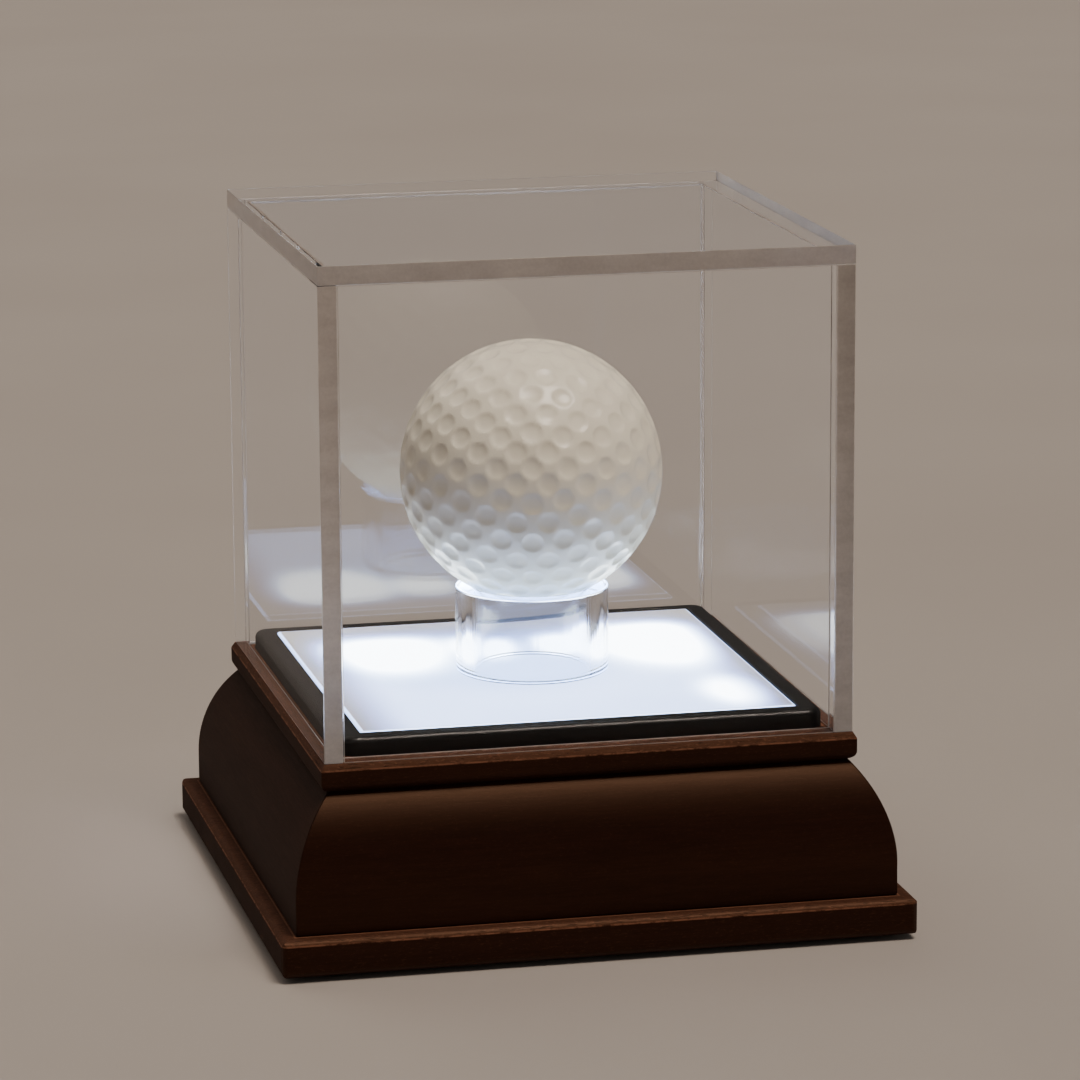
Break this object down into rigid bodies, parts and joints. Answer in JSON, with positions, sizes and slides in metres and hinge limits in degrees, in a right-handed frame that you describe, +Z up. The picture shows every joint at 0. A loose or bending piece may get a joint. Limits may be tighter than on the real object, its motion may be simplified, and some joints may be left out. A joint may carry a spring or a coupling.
{
  "type": "lit ball display case",
  "caption": "Lit tabletop display case for a golf ball: stained wooden base with back-lit panel, clear riser ring, dimpled ball and lift-off clear cover.",
  "frame": {"origin": "centre of the underside, on the plane of the foot pads", "axes": "+Z up, -Y towards the front, +X to the right seen from the front"},
  "size_m": [0.1016, 0.1016, 0.1098],
  "materials": {
    "stained_wood": "dark espresso stain under satin lacquer, fine open grain",
    "black_frame": "black satin lacquer",
    "raw_wood": "unfinished softwood",
    "screw_steel": "zinc plated",
    "foot_rubber": "matt",
    "frosted_acrylic": "frosted white acrylic, lit from below",
    "white_plastic": "matt",
    "board": "white solder mask",
    "lamp": "white package with yellow phosphor",
    "chip": "matt",
    "black_plastic": "fine moulded texture",
    "cell_sleeve": "printed sleeve in plain colours",
    "contact_steel": "nickel plated",
    "wire_red": "PVC",
    "wire_black": "PVC",
    "wire_orange": "PVC",
    "clear_acrylic": "clear polished acrylic",
    "ball_white": "white glossy painted cover"
  },
  "bodies": {
    "base": {"plinth_board": "stained_wood", "moulding_front": "stained_wood", "moulding_rear": "stained_wood", "moulding_left": "stained_wood", "moulding_right": "stained_wood", "ledge_front": "stained_wood", "ledge_rear": "stained_wood", "ledge_left": "stained_wood", "ledge_right": "stained_wood", "raised_frame": "black_frame", "glue_blocks": "raw_wood", "base_screws": "screw_steel", "foot_pads": "foot_rubber", "diffuser_panel": "frosted_acrylic", "light_tray": "white_plastic", "tray_screws": "screw_steel", "led_board": "board", "leds": "lamp", "resistors": "chip", "led_board_screws": "screw_steel", "battery_box": "black_plastic", "battery_box_screws": "screw_steel", "battery_1": "cell_sleeve", "battery_2": "cell_sleeve", "battery_3": "cell_sleeve", "battery_springs": "contact_steel", "battery_plates": "contact_steel", "switch_housing": "contact_steel", "wire_positive": "wire_red", "wire_negative": "wire_black", "wire_switched": "wire_orange"},
    "cover": {"cover_top": "clear_acrylic", "cover_front": "clear_acrylic", "cover_rear": "clear_acrylic", "cover_left": "clear_acrylic", "cover_right": "clear_acrylic"},
    "riser": {"riser_ring": "clear_acrylic"},
    "ball": {"golf_ball": "ball_white"},
    "door": {"battery_door": "black_plastic"},
    "switch": {"switch_slider": "black_plastic"}
  },
  "joints": [
    {"name": "cover_lift", "type": "slide", "parent": "base", "child": "cover", "axis": [0, 0, 1], "range_m": [0, 0.09]},
    {"name": "riser_lift", "type": "slide", "parent": "base", "child": "riser", "axis": [0, 0, 1], "range_m": [0, 0.008]},
    {"name": "ball_lift", "type": "slide", "parent": "riser", "child": "ball", "axis": [0, 0, 1], "range_m": [0, 0.008]},
    {"name": "door_hinge", "type": "hinge", "parent": "base", "child": "door", "pos_m": [-0.02895, 0, 0.0024], "axis": [0, 1, 0], "range_deg": [0, 90]},
    {"name": "switch_slide", "type": "slide", "parent": "base", "child": "switch", "axis": [0, 1, 0], "range_m": [-0.0026, 0]}
  ]
}
